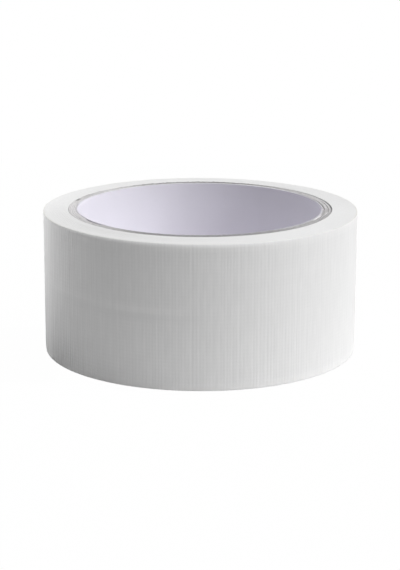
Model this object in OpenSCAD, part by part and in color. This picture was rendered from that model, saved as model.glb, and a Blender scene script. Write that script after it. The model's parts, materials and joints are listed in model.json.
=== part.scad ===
// Roll of cloth duct tape: one strip of three-layer tape wound on a paperboard core,
// with the last of the strip free to be peeled off.
// Millimetres, +Z up the roll's axis, origin at the centre of the lower end of the core.

/* [Core] */
// Bore of the core, which slips over a 3 inch hub
core_bore_d = 77; // [40:0.1:120]
// Thickness of the white paper liner inside the core
liner_t = 0.4; // [0.2:0.05:1]
// Thickness of one chipboard ply
ply_t = 0.58; // [0.3:0.01:1.2]
// Number of chipboard plies around the liner
ply_count = 5; // [2:1:8]
// Width of the paper strip that a ply is wound from
ply_strip_w = 120; // [60:5:125]
// Open gap at the butt seam of each ply
seam_gap = 0.5; // [0.2:0.1:2]
// Direction of the liner's seam at the lower end of the core
liner_seam_angle = 205; // [0:5:355]
// Turn from the seam of one ply to the seam of the next
seam_stagger = 137; // [10:1:350]
// How far the core stands out past the tape at each end
core_proud = 0.5; // [0.1:0.1:2]

/* [Tape] */
// Width of the tape
tape_w = 45; // [15:1:100]
// Thickness of the polyethylene film on the outside
film_t = 0.07; // [0.05:0.01:0.2]
// Thickness of the cloth scrim in the middle
scrim_t = 0.09; // [0.05:0.01:0.3]
// Thickness of the rubber adhesive on the inside
adhesive_t = 0.08; // [0.05:0.01:0.2]
// Number of whole turns wound on the core
turns = 34; // [3:1:60]

/* [Free end] */
// Length of the tape's end that lifts off the roll
end_len = 30; // [10:1:60]
// Direction of the line where the end starts to lift
peel_angle = 95; // [0:5:355]
// Clearance between the lifting end and the tape that it lies on
peel_gap = 0.03; // [0.02:0.01:0.1]

/* [Hidden] */
$fn = 180;
cut_over = 1; // how far a cut runs past what it cuts

ply_r = core_bore_d / 2 + liner_t;
core_r = ply_r + ply_count * ply_t;
core_len = tape_w + 2 * core_proud;

// A wound paper strip advances along the core by its own width, square to the seam, in each turn.
seam_lead = ply_strip_w / cos(asin(ply_strip_w / (PI * core_bore_d)));
seam_cut_len = core_len + 2 * cut_over;
seam_cut_lag = 360 * cut_over / seam_lead;
seam_twist = 360 * seam_cut_len / seam_lead;
slice_twist = 5;
seam_slices = ceil(seam_twist / slice_twist);

tape_t = adhesive_t + scrim_t + film_t;
scrim_inset = adhesive_t;
film_inset = adhesive_t + scrim_t;
// Each turn is two half turns about centres half a thickness apart, which makes one smooth spiral.
half_turn_shift = tape_t / 2;
winding_t = (turns - 1) * tape_t;
last_turn_r = core_r + winding_t;

end_r = last_turn_r + tape_t + peel_gap;
end_start = 360 * peel_gap / (2 * PI * end_r);
end_sweep = 360 * end_len / (2 * PI * end_r);

ply_names = [for (i = [1 : ply_count]) str("core_ply_", i)];

// A paper tube with a helical gap where the edges of its wound strip meet.
module wound_ply(r_in, thickness, seam_angle) {
    difference() {
        cylinder(h = core_len, r = r_in + thickness);
        translate([0, 0, -cut_over])
            cylinder(h = seam_cut_len, r = r_in);
        translate([0, 0, -cut_over])
            rotate([0, 0, seam_angle - seam_cut_lag])
                linear_extrude(height = seam_cut_len, twist = -seam_twist, slices = seam_slices, $fn = 4)
                    translate([r_in - cut_over, -seam_gap / 2])
                        square([thickness + 2 * cut_over, seam_gap]);
    }
}

// White liner, the surface of the bore.
module core_liner() {
    color("#e6e4ee") wound_ply(core_bore_d / 2, liner_t, liner_seam_angle);
}

// One of the grey chipboard plies, counted from the liner outwards.
module core_ply(i) {
    color("#a9a49c")
        wound_ply(ply_r + (i - 1) * ply_t, ply_t, liner_seam_angle + i * seam_stagger);
}

// A stretch of tape, or of one of its layers, swept about the roll's axis from start by sweep degrees.
module strip_arc(r_in, thickness, start, sweep) {
    rotate([0, 0, start])
        rotate_extrude(angle = sweep)
            translate([r_in, 0]) square([thickness, tape_w]);
}

// One turn of the spiral, which ends one tape thickness further out than it starts.
module spiral_turn(r_in, thickness) {
    translate([0, 0, core_proud])
        rotate([0, 0, peel_angle]) {
            strip_arc(r_in, thickness, 0, 180);
            translate([half_turn_shift, 0, 0])
                strip_arc(r_in + half_turn_shift, thickness, 180, 180);
        }
}

// All the turns but the last, which their adhesive bonds into one body with a step at each end of the strip.
module tape_winding() {
    color("#ecebe6") spiral_turn(core_r, winding_t);
}

// One layer of the last turn: inset is its depth from the inside of the tape.
module last_turn_layer(inset, thickness) {
    spiral_turn(last_turn_r + inset, thickness);
}

// One layer of the free end, which goes on from the last turn and lies on the start of it.
module end_layer(inset, thickness) {
    translate([0, 0, core_proud])
        rotate([0, 0, peel_angle])
            strip_arc(end_r + inset, thickness, end_start, end_sweep);
}

module last_turn_adhesive() { color("#d9d5c8") last_turn_layer(0, adhesive_t); }
module last_turn_scrim() { color("#efece2") last_turn_layer(scrim_inset, scrim_t); }
module last_turn_film() { color("#f4f4f2") last_turn_layer(film_inset, film_t); }

module end_adhesive() { color("#d9d5c8") end_layer(0, adhesive_t); }
module end_scrim() { color("#efece2") end_layer(scrim_inset, scrim_t); }
module end_film() { color("#f4f4f2") end_layer(film_inset, film_t); }

core_liner();
for (i = [1 : ply_count])
    core_ply(i);
tape_winding();
last_turn_adhesive();
last_turn_scrim();
last_turn_film();
end_adhesive();
end_scrim();
end_film();
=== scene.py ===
# Roll of white cloth tape on a paperboard core, lying flat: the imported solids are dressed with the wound
# paper of the core, the wound tape, its last turn with the cloth showing through the film, and the free
# end that can be peeled.
import json

import bpy
import numpy as np
from mathutils import Matrix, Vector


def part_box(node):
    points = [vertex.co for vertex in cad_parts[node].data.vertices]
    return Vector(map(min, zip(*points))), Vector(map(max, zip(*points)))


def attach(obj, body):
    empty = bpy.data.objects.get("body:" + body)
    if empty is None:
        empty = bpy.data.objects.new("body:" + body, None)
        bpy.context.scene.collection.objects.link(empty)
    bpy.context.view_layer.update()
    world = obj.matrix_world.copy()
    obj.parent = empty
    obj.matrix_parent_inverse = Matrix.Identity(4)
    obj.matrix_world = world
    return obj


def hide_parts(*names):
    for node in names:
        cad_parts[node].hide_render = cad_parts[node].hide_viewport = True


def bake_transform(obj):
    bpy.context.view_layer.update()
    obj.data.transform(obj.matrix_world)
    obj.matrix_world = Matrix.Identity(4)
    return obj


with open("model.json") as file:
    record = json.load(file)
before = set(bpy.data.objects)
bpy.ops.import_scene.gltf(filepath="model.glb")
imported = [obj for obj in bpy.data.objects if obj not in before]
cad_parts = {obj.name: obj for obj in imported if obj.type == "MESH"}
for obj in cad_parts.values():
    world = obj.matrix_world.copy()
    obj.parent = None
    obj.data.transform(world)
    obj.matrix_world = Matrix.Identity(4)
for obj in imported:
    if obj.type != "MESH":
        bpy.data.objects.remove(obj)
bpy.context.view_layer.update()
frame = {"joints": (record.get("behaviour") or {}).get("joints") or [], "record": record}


# Paper liner: a strip of smooth lavender-white paper, the first that is wound on the mandrel, so it is the
# surface of the bore. Its edges meet in a butt seam that climbs the core as a helix, and the saw that cut
# the core to length left a fuzzy edge that has come off the board behind it in places.
MM = 0.001
bore_r = next(m for m in frame["record"]["mounts"] if m["kind"] == "bore")["dims"]["r_mm"] * MM
core_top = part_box("core_liner")[1][2]
liner_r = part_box("core_liner")[1][0]
liner_columns = 1200
seam_lead = 138.2 * MM
seam_gap = 0.5 * MM
liner_seam = np.radians(205)
sharp_angle = np.radians(50)
wall_heights = 0.5 - 0.4995 * np.cos(np.linspace(0, np.pi, 21))
cut_places = np.array([0.1, 0.28, 0.5, 0.72, 0.9])
sawn_from = 0.999
saw_slope = 0.1
lean_depth, fold_depth = 1.2 * MM, 0.25 * MM
liner_fuzz = 0.03
# Painted shade on the liner's cut edge, at the right and at the left, darkens it towards the first of these
# colours. Its faint mottling does so a little too.
liner_shade_dark, liner_white = (0.33, 0.325, 0.34), (0.911, 0.892, 0.966)
# Each place round the roll is an amount, in millimetres where it moves points, a direction, in degrees from
# the right round by the back, and half a width in degrees.
core_grips = ((0.40, 172, 55), (0.22, 2, 26))
# These places are painted shade on the sawn ends: on every tube most at the front and less at the back, and
# on the liner at the right and at the left.
painted_ring_shade = ((0.8, 288, 96), (0.25, 100, 66))
liner_painted_shade = ((0.45, 8, 60), (0.32, 172, 50))
liner_lean = ((0.04, 172, 34), (-0.16, 206, 18), (-0.06, 16, 50))
liner_fold = ((0.24, 172, 36),)


class Wire:
    """An output socket among a material's nodes. Sums of wires and numbers add Math nodes."""

    def __init__(self, tree, socket=None):
        self.tree, self.socket = tree, socket

    def make(self, kind, settings, sockets, out=0):
        """Adds a node: its settings first, then a value or a wire for each socket. Returns one output."""
        node = self.tree.nodes.new(kind)
        for name, value in settings.items():
            setattr(node, name, value)
        for name, value in sockets.items():
            if isinstance(value, Wire):
                self.tree.links.new(value.socket, node.inputs[name])
            else:
                node.inputs[name].default_value = value
        return Wire(self.tree, node.outputs[out] if node.outputs else None)

    def math(self, operation, *terms):
        """One Math node on the terms."""
        return self.make("ShaderNodeMath", {"operation": operation}, dict(enumerate(terms)))

    def __add__(self, other):
        return self.math("ADD", self, other)

    def __sub__(self, other):
        return self.math("SUBTRACT", self, other)

    def __rsub__(self, other):
        return self.math("SUBTRACT", other, self)

    def __mul__(self, other):
        return self.math("MULTIPLY", self, other)

    __radd__, __rmul__ = __add__, __mul__

    def sin(self):
        """Sine of this wire, in radians."""
        return self.math("SINE", self)

    def step(self, low, high):
        """0 at low, 1 at high, and smooth between them."""
        limits = {"Value": self, "From Min": low, "From Max": high}
        return self.make("ShaderNodeMapRange", {"interpolation_type": "SMOOTHSTEP"}, limits)

    def place(self, kind="UV"):
        """Coordinates of the surface, in metres."""
        return self.make("ShaderNodeTexCoord", {}, {}, kind)

    def axis(self, name):
        """One of the axes of these coordinates."""
        return self.make("ShaderNodeSeparateXYZ", {}, {"Vector": self}, name)

    def field(self, name):
        """The number of that name that the mesh keeps for each point."""
        return self.make("ShaderNodeAttribute", {"attribute_name": name}, {}, "Fac")

    def noise(self, scale, detail, stretch=(1, 1, 1)):
        """Cloudy numbers about one half, at scale to the metre, on these coordinates stretched by axis."""
        spread = self.make("ShaderNodeMapping", {}, {"Vector": self, "Scale": stretch})
        cloud = {"Vector": spread, "Scale": scale, "Detail": detail}
        return self.make("ShaderNodeTexNoise", {}, cloud, "Fac")

    def tint(self, dark, light):
        """Colour between dark, where this wire is 0, and light, where it is 1."""
        ends = {"Factor": self, "A": (*dark, 1), "B": (*light, 1)}
        return self.make("ShaderNodeMix", {"data_type": "RGBA"}, ends, "Result")

    def bump(self, height):
        """Normals of a surface that this wire raises by height, in metres."""
        return self.make("ShaderNodeBump", {}, {"Height": self, "Distance": height, "Strength": 1.0})


def new_material(name):
    """An empty material, and a wire with no socket to start its nodes from."""
    material = bpy.data.materials.new(name)
    material.use_nodes = True
    material.node_tree.nodes.clear()
    return material, Wire(material.node_tree)


def finish_material(start, **sockets):
    """Ends a material in a Principled shader with those sockets, written with _ for a space."""
    named = {name.replace("_", " "): value for name, value in sockets.items()}
    shader = start.make("ShaderNodeBsdfPrincipled", {}, named)
    start.make("ShaderNodeOutputMaterial", {}, {"Surface": shader})


def swept(name, points, material, uv, **fields):
    """Closed piece on a grid of points: each row is a section, whose last point joins its first, and the
    rows follow the path. The first and the last section are capped. A grid with one more axis in front is
    that many such strands. A field is one number a point, kept as an attribute."""
    rows, ring = points.shape[-3:-1]
    index = np.arange(points.size // 3).reshape(-1, rows, ring)
    here, there = index[:, :-1], index[:, 1:]
    quads = np.stack([here, there, np.roll(there, -1, 2), np.roll(here, -1, 2)], -1).reshape(-1, 4)
    caps = index[:, 0].tolist() + index[:, -1, ::-1].tolist()
    mesh = bpy.data.meshes.new(name)
    mesh.from_pydata(points.reshape(-1, 3), [], quads.tolist() + caps)
    corners = np.empty(len(mesh.loops), int)
    mesh.loops.foreach_get("vertex_index", corners)
    mesh.uv_layers.new(name="UVMap").uv.foreach_set("vector", uv.reshape(-1, 2)[corners].ravel())
    for field, values in fields.items():
        numbers = np.ascontiguousarray(values, np.float32).ravel()
        mesh.attributes.new(field, "FLOAT", "POINT").data.foreach_set("value", numbers)
    mesh.shade_smooth()
    mesh.set_sharp_from_angle(angle=sharp_angle)
    mesh.materials.append(material)
    piece = bpy.data.objects.new(name, mesh)
    bpy.context.scene.collection.objects.link(piece)
    return piece


def polar(r, angle, z):
    """Points from the distance off the roll's axis, the direction round it and the height."""
    r, angle, z = np.broadcast_arrays(r, angle, z)
    return np.stack([r * np.cos(angle), r * np.sin(angle), z], -1)


def laid_flat(along, z):
    """Coordinates on a wound sheet laid flat: the distance along it and the height."""
    return np.stack(np.broadcast_arrays(along, z), -1)


def ripple(place, counts, seed):
    """Irregular line along place, about -1 to 1: the sum of sin(count place + phase) over the counts, at
    phases drawn from the seed, over the root of how many they are."""
    phase = np.random.default_rng(seed).uniform(0, 2 * np.pi, len(counts))
    return sum(np.sin(count * place + shift) for count, shift in zip(counts, phase)) / np.sqrt(len(counts))


def spots(angle, places):
    """Sum over the places of their amount, which falls as a squared cosine from their direction to 0 at half
    their width to either side."""
    total = 0.0
    for amount, middle, half in places:
        off = np.abs((np.degrees(angle) - middle + 180) % 360 - 180)
        total = total + amount * np.cos(np.clip(off / half, 0, 1) * np.pi / 2) ** 2
    return total


def section(outside, inside, cut):
    """Section of a strip on edge: up the outside, in over the top, down the inside and out below. Gives
    across, from 0 inside to 1 outside, and up, from 0 to 1, for the heights on each side and the places on
    the cut."""
    across = np.concatenate([np.ones(len(outside)), cut[::-1], np.zeros(len(inside)), cut])
    up = np.concatenate([outside, np.ones(len(cut)), inside[::-1], np.zeros(len(cut))])
    return across, up


def bulge(angle):
    """How far the core has been pressed out of round, at the left and the right, where it was gripped."""
    return spots(angle, core_grips) * MM


def paper_tube(name, r_in, r_out, seam, columns, material, dents, own_marks):
    """Wound paper ply: the section of its wall is carried once round the axis, from one edge of the seam to
    the other, and turned with height by the helix 2 pi z / lead. Dents gives how far each point moves out
    and up. The field it keeps on the cut end is painted shade, most at the front and less at the back on
    every tube and at its own marks, and pale torn fibres where these are negative."""
    across, up = section(wall_heights, wall_heights, cut_places)
    z = up * core_top
    r = r_in + across * (r_out - r_in)
    gap = seam_gap / r
    share = np.linspace(0, 1, columns)[:, None]
    angle = seam + 2 * np.pi * z / seam_lead + gap / 2 + share * (2 * np.pi - gap)
    out, rise = dents(angle, across, up)
    points = polar(r + out + bulge(angle), angle, z + rise)
    # Painted shade on the sawn end, and pale torn fibres where the amount is negative.
    scorch = spots(angle, painted_ring_shade + own_marks) * (up > sawn_from)
    return swept(name, points, material, laid_flat(angle * r_in, z), scorch=scorch)


def saw_cut(angle, up):
    """How far the upper end of the core falls short, in millimetres: the saw ran out of square, so the end
    is lower at the front by twice the slope, and the whole wall is drawn down with it."""
    return -saw_slope * (1 - np.sin(angle)) * up


def liner_dents(angle, across, up):
    """The liner's top edge has folded out over the sunk ply at the left, and leans into the bore beside that
    and at the right, where it has come off the board. Both die out as exp(-below / depth), the lean in about
    3 mm. Its sawn edges rise and fall by a few hundredths."""
    below = (1 - up) * core_top
    lean = spots(angle, liner_lean) * np.exp(-below / lean_depth)
    fold = spots(angle, liner_fold) * np.exp(-below / fold_depth)
    out = (lean + fold) * (1 + 0.25 * ripple(angle, (5, 14, 37), seed=5))
    top_fuzz = liner_fuzz * ripple(angle, (7, 23, 61, 97, 181), seed=3) * (up == 1)
    foot_fuzz = liner_fuzz * ripple(angle, (9, 31, 77), seed=4) * (up == 0)
    return out * MM, (saw_cut(angle, up) + top_fuzz + foot_fuzz) * MM


liner_paper, start = new_material("liner_paper")
surface = start.place()
mottle = surface.noise(scale=90, detail=3, stretch=(1, 0.18, 1))
fibre = surface.noise(scale=1800, detail=3, stretch=(1, 0.5, 1))
grime = (0.65 * mottle + 0.35 * fibre).step(0.8, 0.2)
# The liner's colour: faint mottling, and painted shade on its cut edge from the field the tube keeps.
finish_material(
    start,
    Base_Color=(1 - 0.055 * grime - start.field("scorch")).tint(liner_shade_dark, liner_white),
    Roughness=0.50 + 0.2 * fibre,
    Normal=(fibre + 2 * mottle).bump(height=0.012 * MM))
liner = paper_tube(
    "paper_liner", bore_r, liner_r, liner_seam, liner_columns, liner_paper, liner_dents, liner_painted_shade)
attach(liner, "roll")
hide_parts("core_liner")


# Chipboard plies: five thick strips of grey recycled board, wound and glued over the liner one after the
# other with their seams apart. Only their sawn ends show, as rings of slightly different greys with torn
# fibres, and here and there a ply has sunk or split from the next.
ply_seam_turn = np.radians(137)
ply_columns = 1000
ply_greys = (0.76, 0.73, 0.71, 0.73, 0.68)
ply_dark, ply_pale = np.array([0.41, 0.40, 0.405]), np.array([1.11, 1.09, 1.10])
ply_fuzz, ply_rounding, ply_fall, foot_sunk = 0.05, 0.12, 0.4, 0.2
ply_low = (0.03, 0.06, 0.02, 0.05, 0.01)
ply_sunk = (((0.9, 20, 46), (0.3, 172, 36), (0.9, 212, 10)), (), ((0.35, 350, 40),), (), ((0.25, 0, 70),))
# Painted shade on the plies' sawn ends: on all of them at the back left, the front left and the right, and
# on the outer three at the back. The outer two are darker in a narrow band at the left. The negative marks
# are pale torn fibres on the first and third.
ply_painted_shade = ((0.3, 155, 22), (0.2, 247, 20), (0.3, 345, 26))
back_painted_shade, left_dark_mark = (0.7, 85, 66), (0.9, 163.7, 3.5)
ply_marks = (
    ((-1.1, 339, 9),), (), (back_painted_shade, (-0.8, 350, 6)), (back_painted_shade, left_dark_mark), (back_painted_shade, left_dark_mark))


def ply_dents(number):
    """How ply number of five departs from a clean tube at its sawn ends, in millimetres: each has a fuzzy,
    rounded end with a groove to either side, a little lower than the liner, and has sunk in its own places.
    The last falls away towards the first turn of tape."""

    def dents(angle, across, up):
        fuzz = ply_fuzz * ripple(angle, (11, 29, 47, 83, 149, 211), seed=10 + number)
        sunk = ply_rounding * (2 * across - 1) ** 2 + ply_low[number - 1]
        sunk = sunk + spots(angle, ply_sunk[number - 1])
        if number == len(ply_greys):
            sunk = sunk + ply_fall * across ** 4
        top = (up > sawn_from) * (fuzz - sunk)
        foot = (up < 1 - sawn_from) * (fuzz - np.minimum(sunk, foot_sunk))
        return 0 * angle, (saw_cut(angle, up) + top - foot) * MM

    return dents


for number, grey in enumerate(ply_greys, 1):
    chipboard, start = new_material(f"chipboard_{number}")
    board = start.place("Object")
    pulp = board.noise(scale=900, detail=4)
    flecks = board.noise(scale=3500, detail=2)
    shade = (0.6 * pulp + 0.4 * flecks).step(0.25, 0.75)
    # Pulp and flecks, with the painted shade on the sawn end from the field the tube keeps, pale where that
    # field is negative.
    finish_material(
        start,
        Base_Color=(0.6 + 0.4 * shade - start.field("scorch")).tint(grey * ply_dark, grey * ply_pale),
        Roughness=0.85 + 0.1 * flecks,
        Normal=(pulp + flecks).bump(height=0.04 * MM))
    node = f"core_ply_{number}"
    r_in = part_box(f"core_ply_{number - 1}" if number > 1 else "core_liner")[1][0]
    ply = paper_tube(
        f"chipboard_ply_{number}", r_in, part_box(node)[1][0], liner_seam + number * ply_seam_turn,
        ply_columns, chipboard, ply_dents(number), ply_painted_shade + ply_marks[number - 1])
    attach(ply, "roll")
    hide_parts(node)


# Wound tape: all the turns but the last of the one long strip, pulled tight round the core. Each turn sticks
# to the one below, so only the slit edges show at the two ends of the roll: adhesive, cloth and film in fine
# spiral lines, a little higher or lower from turn to turn as the strip wandered on the winding machine.
tape_low, tape_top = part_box("last_turn_film")[0][2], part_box("last_turn_film")[1][2]
tape_w = tape_top - tape_low
core_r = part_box("core_ply_5")[1][0]
tape_t = 0.24 * MM
turns = 34
columns_a_turn = 150
hinge = frame["joints"][0]["pos_m"]
peel = np.arctan2(hinge[1], hinge[0])
roll_r = core_r + turns * tape_t
wound_angle = 2 * np.pi * (turns - 1)
edge_zone = 3 * MM
edge_rounding, edge_flare, foot_curl = ((0.68, 240, 92),), ((0.26, 178, 42),), 0.12
core_slip, slip_tilt = 0.42, 0.05
slow_drift, quick_drift = 0.012, 0.010
adhesive_dip = 0.004 * MM
edge_dull, edge_white = (0.58, 0.58, 0.578), (0.868, 0.868, 0.868)


def spiral(turned):
    """Growth of the roll after an angle past the peel line: nothing in the first half of each turn and half
    a cosine wave in the second, which adds up to one tape thickness a turn, as two half circles with shifted
    centres do."""
    whole = np.floor(turned / (2 * np.pi))
    part = turned - 2 * np.pi * whole
    return tape_t * (whole + np.where(part > np.pi, (1 + np.cos(part)) / 2, 0))


def crown(z, angle):
    """How far the outermost turn is drawn in at height z, over the last 3 mm at each edge and ever faster:
    the top edge has been handled, so it is rounded off at the front left and flares a little at the left,
    and the bottom edge curls in all round."""
    near = np.clip(1 - np.minimum(z - tape_low, tape_top - z) / edge_zone, 0, 1.02)
    at_top = spots(angle, edge_rounding) * near ** 5 - spots(angle, edge_flare) * near ** 2.5
    return np.where(2 * z > tape_low + tape_top, at_top, foot_curl * near ** 2.5) * MM


def wander(turned, across=0):
    """Sideways place of the strip in millimetres, along its length: the core has slipped up through the
    roll, so the inner turns stand higher by the slip and the ends of the roll are faintly conical. The strip
    also drifts by a hundredth or so, slowly over 3 to 20 turns, which shows as faint broad rings, and a
    little within each turn."""
    inner = (1 - turned / wound_angle - across / (turns - 1)).clip(0, 1)
    slipped = (core_slip - slip_tilt * np.sin(peel + turned)) * inner
    drift = slow_drift * ripple(turned, (0.05, 0.085, 0.27, 0.31), seed=21)
    return slipped + drift + quick_drift * ripple(turned, (0.99, 1.98, 3.03), seed=22)


turned = np.linspace(0, wound_angle, columns_a_turn * (turns - 1) + 1)[:, None]
edge_heights = np.array([0.0003, 0.93, 0.9997])
across, up = section(edge_heights, edge_heights, np.array([0.05, 0.30, 0.37, 0.66, 0.74, 0.95]))
straight_z = tape_low + up * tape_w
edge_dip = adhesive_dip * (1 - across)
z = straight_z + np.where(up > 0.5, -edge_dip, edge_dip) + wander(turned, across) * MM
r = core_r + spiral(turned) + across * tape_t
depth = (r - core_r) / (roll_r - core_r)
r = r - crown(straight_z, peel + turned) * depth + bulge(peel + turned) * (1 - depth)

slit_edge, start = new_material("slit_edge")
layer = start.field("across")
lint = start.place().noise(scale=700, detail=3, stretch=(1, 0.2, 1))
cloth = layer.step(0.30, 0.36) - layer.step(0.68, 0.74)
white = (0.75 + 0.2 * layer.step(0.3, 0.8) - 0.08 * cloth + 0.25 * (lint - 0.5)).step(0, 1)
finish_material(
    start,
    Base_Color=white.tint(edge_dull, edge_white),
    Roughness=0.55 + 0.2 * lint,
    Specular_IOR_Level=0.2,
    Normal=lint.bump(height=0.02 * MM))
winding = swept(
    "wound_tape", polar(r, peel + turned, z), slit_edge, laid_flat(turned * core_r, z),
    across=np.broadcast_to(across, r.shape))
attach(winding, "roll")
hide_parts("tape_winding")


# Last turn: the same strip once more, in its three layers. The white film is the side of the roll: it was
# run hot on to the cloth, so each cross thread stands out as a fine upright rib, unevenly spaced, and the
# winding left a few soft creases in it.
adhesive_t, scrim_t = 0.08 * MM, 0.09 * MM
film_t = tape_t - adhesive_t - scrim_t
last_turn_r = core_r + (turns - 1) * tape_t
rib_pitch = 1.04 * MM
warp_pitch = 1.2 * MM
rib_stand = ((2.4, 190, 58), (-0.35, 325, 60))
# These numbers scale the paleness of the ribs and the painted light above each crease's crest and painted
# shade below it.
rib_white, painted_crease_light = 0.01 * MM, 3.4
crease_rise, crease_half, full_painted_light = 0.06, 1.7, 2.33
# Each crease has a height up the roll, a place along the strip and half a length, in millimetres, and a
# weight.
crease_list = ((23.8, 134.0, 13.0, 0.9), (24.6, 108.0, 14.0, 0.5), (34.0, 172.0, 30.0, 0.15))
adhesive_dark, adhesive_pale = (0.70, 0.68, 0.61), (0.83, 0.815, 0.76)
thread_dark, thread_pale = (0.74, 0.73, 0.69), (0.86, 0.855, 0.83)
film_dull, film_white = (0.822, 0.822, 0.822), (0.895, 0.893, 0.892)
# Within this distance of each edge the film is painted lighter, a painted glow of light through its edges.
painted_glow_zone = 3.5 * MM


def ribs(length, z):
    """Relief of the cross threads in the film, in metres: waves of one rib pitch and weaker ones of two and
    three, whose phase and height drift along the strip and a little across it, so that no two threads are
    quite alike. They stand out most at the left of the roll and least at the right."""
    along, up = length / MM, z / MM
    drift = 1.5 * ripple(along, (0.13, 0.31, 0.83), seed=31) + 0.12 * ripple(up, (0.13, 0.29), seed=32)
    turn = 2 * np.pi * length / rib_pitch + drift
    uneven = 0.5 * ripple(along, (0.17, 0.57, 1.31), seed=33)
    height = 1 + uneven + 0.6 * ripple(up + 40 * np.sin(3 * along), (0.21, 0.47, 0.9), seed=34)
    waves = 0.0095 * height * np.cos(turn) + 0.005 * np.cos(turn / 2 + 0.7) + 0.003 * np.cos(turn / 3 + 2)
    return (1 + spots(peel + length / roll_r, rib_stand)) * MM * waves


def creases(length, z):
    """Soft creases along the last turn, low ridges that the strip took when it was wound, each falling off
    as a bell both ways. Gives their rise in metres, and their painted light from -1 to 1: painted light
    above the crest and painted shade below it."""
    rise, painted_light_and_shade = 0.0, 0.0
    for middle, at, half, weight in crease_list:
        off = (z / MM - middle) / crease_half
        bell = weight * np.exp(-off ** 2 - ((length / MM - at) / half) ** 2)
        rise = rise + crease_rise * bell * MM
        painted_light_and_shade = painted_light_and_shade + full_painted_light * off * bell
    return rise, painted_light_and_shade


def tape_layer(name, turned, inset, thickness, heights, material, relief, lift=0, trim=None, under=None):
    """One layer of the strip from the turned angles on: its section is carried along the spiral, drawn in
    by the crown, and the relief is added to one face. Its outer face has points at those heights, and its
    inner face at the heights under, where they differ. Lift raises the sections and trim shortens them at
    the end. White is how much paler the film is drawn on its ribs, with the painted light and shade of its
    creases."""
    across, up = section(heights, heights if under is None else under, np.array([0.2, 0.8]))
    z = tape_low + up * tape_w
    turned = turned[:, None] + (trim(up) if trim else np.zeros_like(up))
    length = turned * roll_r
    r = last_turn_r + spiral(turned) + lift + inset + across * thickness
    r = r - crown(z, peel + turned) + relief(length, z, across)
    # Paler on the ribs, with painted light above each crease's crest and painted shade below it.
    white = ribs(length, z) / rib_white + painted_crease_light * creases(length, z)[1]
    z = z + wander(turned + wound_angle) * MM
    return swept(name, polar(r, peel + turned, z), material, laid_flat(length, z), white=white)


def embossed(length, z, across):
    """Relief of the film's outer face: the ribs and the creases."""
    return (across == 1) * (ribs(length, z) + creases(length, z)[0])


def plain(length, z, across):
    """No relief."""
    return 0.0


adhesive, start = new_material("rubber_adhesive")
strip = start.place()
smear = strip.noise(scale=400, detail=3)
cross_threads = (strip.axis("X") * (2 * np.pi / rib_pitch) + 2 * smear).sin().step(0.1, 0.9)
long_threads = (strip.axis("Y") * (2 * np.pi / warp_pitch) + 2 * smear).sin().step(0.1, 0.9)
gauze = cross_threads + long_threads
finish_material(
    start,
    Base_Color=(0.35 * gauze + 0.5 * smear).step(0, 1).tint(adhesive_dark, adhesive_pale),
    Roughness=0.34 + 0.2 * smear,
    Normal=(0.6 * gauze + smear).bump(height=0.03 * MM))

scrim, start = new_material("cloth_scrim")
twist = start.place().noise(scale=2500, detail=2)
finish_material(
    start,
    Base_Color=twist.step(0.3, 0.7).tint(thread_dark, thread_pale),
    Roughness=0.75 + 0.15 * twist,
    Normal=twist.bump(height=0.03 * MM))

film, start = new_material("polyethylene_film")
strip = start.place()
upward = strip.axis("Y")
cloudy = strip.noise(scale=120, detail=3)
slub = strip.noise(scale=900, detail=3, stretch=(1, 0.12, 1))
grain = strip.noise(scale=4200, detail=2)
warp = (upward * (2 * np.pi / warp_pitch) + 3 * cloudy).sin()
# Painted glow lightens the film near both edges, over its cloudy and slubby tone.
painted_edge_glow = 1 - (upward - tape_low).step(0, painted_glow_zone) * (tape_top - upward).step(0, painted_glow_zone)
# The ribs' paleness and the creases' painted light and shade, with the lengthwise threads.
cloth_and_crease_paint = 0.4 + 0.10 * start.field("white") + 0.03 * warp
mottle_and_edge_glow = 0.2 * (cloudy - 0.5) + 0.9 * (slub - 0.5) + 0.4 * painted_edge_glow
finish_material(
    start,
    Base_Color=(cloth_and_crease_paint + mottle_and_edge_glow).step(0, 1).tint(film_dull, film_white),
    Roughness=0.34 + 0.14 * slub,
    Specular_IOR_Level=0.6,
    Normal=(0.2 * warp + 2.2 * slub + 1.6 * grain).bump(height=0.014 * MM))

height_shares = (0, 0.1, 0.27, 0.62, 0.78, 0.9, 1)
fine = np.interp(np.linspace(0, 1, 52), height_shares, (0.0004, 0.06, 0.41, 0.63, 0.9, 0.972, 0.9996))
coarse = np.array([0.0004, 0.04, 0.5, 0.93, 0.97, 0.9996])
whole_turn = np.linspace(0, 2 * np.pi, 1600)
coarse_turn = np.linspace(0, 2 * np.pi, 361)
last_film = tape_layer(
    "outer_film", whole_turn, adhesive_t + scrim_t, film_t, fine, film, embossed, under=coarse)
last_scrim = tape_layer("outer_scrim", coarse_turn, adhesive_t, scrim_t, coarse, scrim, plain)
last_adhesive = tape_layer("outer_adhesive", coarse_turn, 0, adhesive_t, coarse, adhesive, plain)
for piece, node, slot in (
        (last_film, "last_turn_film", "film"), (last_scrim, "last_turn_scrim", "scrim"),
        (last_adhesive, "last_turn_adhesive", "adhesive")):
    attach(piece, "roll")
    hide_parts(node)


# Free end: the last of the strip, cut off square and left lying on the turn below, where a thumb lifts it.
# It joins the last turn at the peel line, so its three layers follow the roll before that line and the free
# end after it. The knife left the ends of the lengthwise threads standing out of the cut.
end_len = 30 * MM
peel_gap = 0.03 * MM
gap_len = 3 * MM
ragged_len = 2 * MM
mesh_sag = 0.01
end_along = np.linspace(0, end_len, 221)
end_turned = 2 * np.pi + end_along / roll_r
end_lift = peel_gap * np.clip(end_along / gap_len, 0, 1)[:, None]


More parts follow.
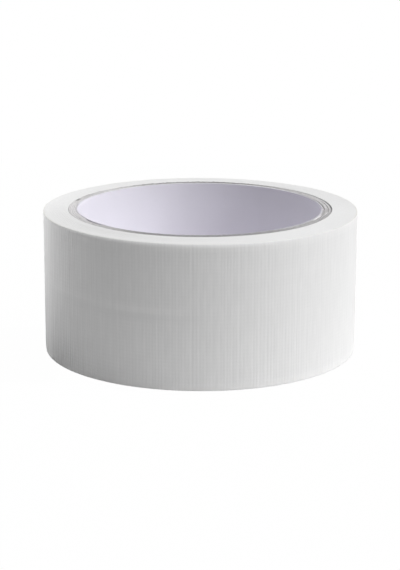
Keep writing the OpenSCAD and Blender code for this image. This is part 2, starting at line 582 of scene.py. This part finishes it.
def cut(depth, seed):
    """How far the end of a layer falls back from a straight cut, as an angle for each height: up to depth
    millimetres, unevenly, and growing along the last of the strip."""
    last = np.clip(1 - (end_len - end_along) / ragged_len, 0, 1)[:, None]
    return lambda up: -last * depth * (1 + ripple(up * 45, (0.7, 1.9, 4.3), seed)) / 2 * MM / roll_r


def gauzed(length, z, across):
    """Relief of the adhesive's inner face: it has sunk by twice the sag into each mesh of the cloth, so the
    threads of both directions stand out of it."""
    threads = np.maximum(np.cos(2 * np.pi * length / rib_pitch), np.cos(2 * np.pi * z / warp_pitch))
    return (across == 0) * mesh_sag * (1 - threads) * MM


mesh_rows = np.linspace(0.0004, 0.9996, 150)
end_film = tape_layer(
    "free_end_film", end_turned, adhesive_t + scrim_t, film_t, fine, film, embossed, end_lift,
    cut(depth=0.10, seed=51))
end_scrim = tape_layer(
    "free_end_scrim", end_turned, adhesive_t, scrim_t, fine, scrim, plain, end_lift,
    cut(depth=0.04, seed=52))
end_adhesive = tape_layer(
    "free_end_adhesive", end_turned, 0, adhesive_t, fine, adhesive, gauzed, end_lift,
    cut(depth=0.14, seed=53), mesh_rows)

thread_count = 37
thread_r = 0.035 * MM
stub_low, stub_high = (0.15, -0.2, -0.04), (0.9, 0.2, 0.3)
draw = np.random.default_rng(61)
stub, sway, rise = draw.uniform(stub_low, stub_high, (thread_count, 3)).T[:, :, None, None] * MM
out_of_cut = np.linspace(-0.3, 1, 8)[:, None] * stub
bent = np.clip(out_of_cut / stub, 0, 1) ** 2
girth = np.linspace(0, 2 * np.pi, 7)[:-1]
strand_half = thread_r * (1 - 0.5 * bent)
warp_z = tape_low + tape_w / 2 + ((np.arange(thread_count) - thread_count // 2) * warp_pitch)[:, None, None]
strand_z = warp_z + sway * bent + strand_half * np.sin(girth)
strand_turned = end_turned[-1] + out_of_cut / roll_r
strand_r = last_turn_r + spiral(strand_turned) + peel_gap + adhesive_t + scrim_t / 2
strand_r = strand_r - crown(warp_z, peel + end_turned[-1]) + rise * bent + strand_half * np.cos(girth)
threads = swept(
    "free_end_threads", polar(strand_r, peel + strand_turned, strand_z), scrim,
    laid_flat(out_of_cut, strand_z))
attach(threads, "free_end")
for piece, node, slot in (
        (end_film, "end_film", "film"), (end_scrim, "end_scrim", "scrim"),
        (end_adhesive, "end_adhesive", "adhesive")):
    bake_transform(piece)
    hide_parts(node)


# Studio: a pale floor in a white room, a large soft light far off at the right, another overhead, a weaker
# one at the left, a small card behind the roll, and two more that lift its shaded edge, a low one behind it
# and a small one close to its left. A grey card on the floor there keeps the floor's light off its foot.
aim_z = 20 * MM
far_off = 1.0
shown_share = 0.99


def shown_white(start):
    """1 on rays from the camera and those mirrored in the roll, and 0 on the rays that light it."""
    seen = start.make("ShaderNodeLightPath", {}, {}, "Is Camera Ray")
    mirrored = start.make("ShaderNodeLightPath", {}, {}, "Is Glossy Ray")
    return start.math("MINIMUM", seen + mirrored, 1.0)


def studio_sheet(name, low, high, z, grey):
    """Flat sheet from corner low to corner high at height z: it lights the roll as matt paper of that grey,
    and shows as white, also in the film's sheen."""
    mesh = bpy.data.meshes.new(name)
    corners = [(low[0], low[1], z), (high[0], low[1], z), (high[0], high[1], z), (low[0], high[1], z)]
    mesh.from_pydata(corners, [], [(0, 1, 2, 3)])
    sheet = bpy.data.objects.new(name, mesh)
    bpy.context.scene.collection.objects.link(sheet)
    paper, start = new_material(f"{name}_paper")
    lit = start.make("ShaderNodeBsdfDiffuse", {}, {"Color": (grey, grey, grey, 1)})
    bright = start.make("ShaderNodeEmission", {}, {"Strength": 1.0})
    shown = start.make("ShaderNodeMixShader", {}, {0: shown_share * shown_white(start), 1: lit, 2: bright})
    start.make("ShaderNodeOutputMaterial", {}, {"Surface": shown})
    mesh.materials.append(paper)


studio_sheet("floor", low=(-0.32, -0.32), high=(0.32, 0.32), z=0, grey=0.87)
studio_sheet("grey_card", low=(-0.085, -0.04), high=(-0.044, 0.02), z=0.2 * MM, grey=0.36)

world = bpy.data.worlds.new("studio")
bpy.context.scene.world = world
world.use_nodes = True
world.node_tree.nodes.clear()
start = Wire(world.node_tree)
room = start.make("ShaderNodeBackground", {}, {"Color": (1, 1, 1, 1), "Strength": shown_white(start)})
start.make("ShaderNodeOutputWorld", {}, {"Surface": room})


def looking(azimuth, elevation, distance, height, roll=0):
    """Place of a thing that looks at the roll's axis at that height, from a direction in degrees, where
    azimuth 0 is the camera's side and 90 the right, and is rolled about its line of sight."""
    side = Matrix.Rotation(np.radians(azimuth), 4, "Z")
    tip = Matrix.Rotation(np.radians(90 - elevation), 4, "X")
    aim = Matrix.Translation((0, 0, height)) @ side @ tip @ Matrix.Rotation(np.radians(roll), 4, "Z")
    return aim @ Matrix.Translation((0, 0, distance))


def softbox(name, azimuth, elevation, distance, width, height, power):
    """Rectangular light that looks at the roll. The near ones stay out of the picture and of the sheen."""
    data = bpy.data.lights.new(name, "AREA")
    data.shape, data.size, data.size_y, data.energy = "RECTANGLE", width, height, power
    light = bpy.data.objects.new(name, data)
    light.matrix_world = looking(azimuth, elevation, distance, aim_z)
    light.visible_camera = light.visible_glossy = distance > far_off
    bpy.context.scene.collection.objects.link(light)


softbox("right_softbox", azimuth=74, elevation=36, distance=4.0, width=3.2, height=2.6, power=107)
softbox("overhead_softbox", azimuth=74, elevation=70, distance=4.0, width=2.5, height=2.5, power=77)
softbox("left_softbox", azimuth=-125, elevation=58, distance=4.0, width=2.5, height=2.5, power=23)
softbox("back_card", azimuth=-168, elevation=24, distance=0.6, width=0.4, height=0.4, power=0.55)
softbox("corner_card", azimuth=-148, elevation=0.3, distance=0.7, width=0.5, height=0.044, power=0.6)
softbox("left_card", azimuth=-96, elevation=18, distance=0.09, width=0.05, height=0.042, power=0.0105)


# Camera: a little above the roll and straight in front of it, as in the photograph, with a long lens. Its
# place was worked out from the outlines of the two rims and of the bore.
camera_data = bpy.data.cameras.new("camera")
camera_data.sensor_width, camera_data.lens = 36.0, 113.36
camera = bpy.data.objects.new("camera", camera_data)
camera.matrix_world = looking(azimuth=0, elevation=14.656, distance=0.580, height=20.3 * MM, roll=0.153)
bpy.context.scene.collection.objects.link(camera)
bpy.context.scene.camera = camera
bpy.context.scene.view_settings.view_transform = "Standard"
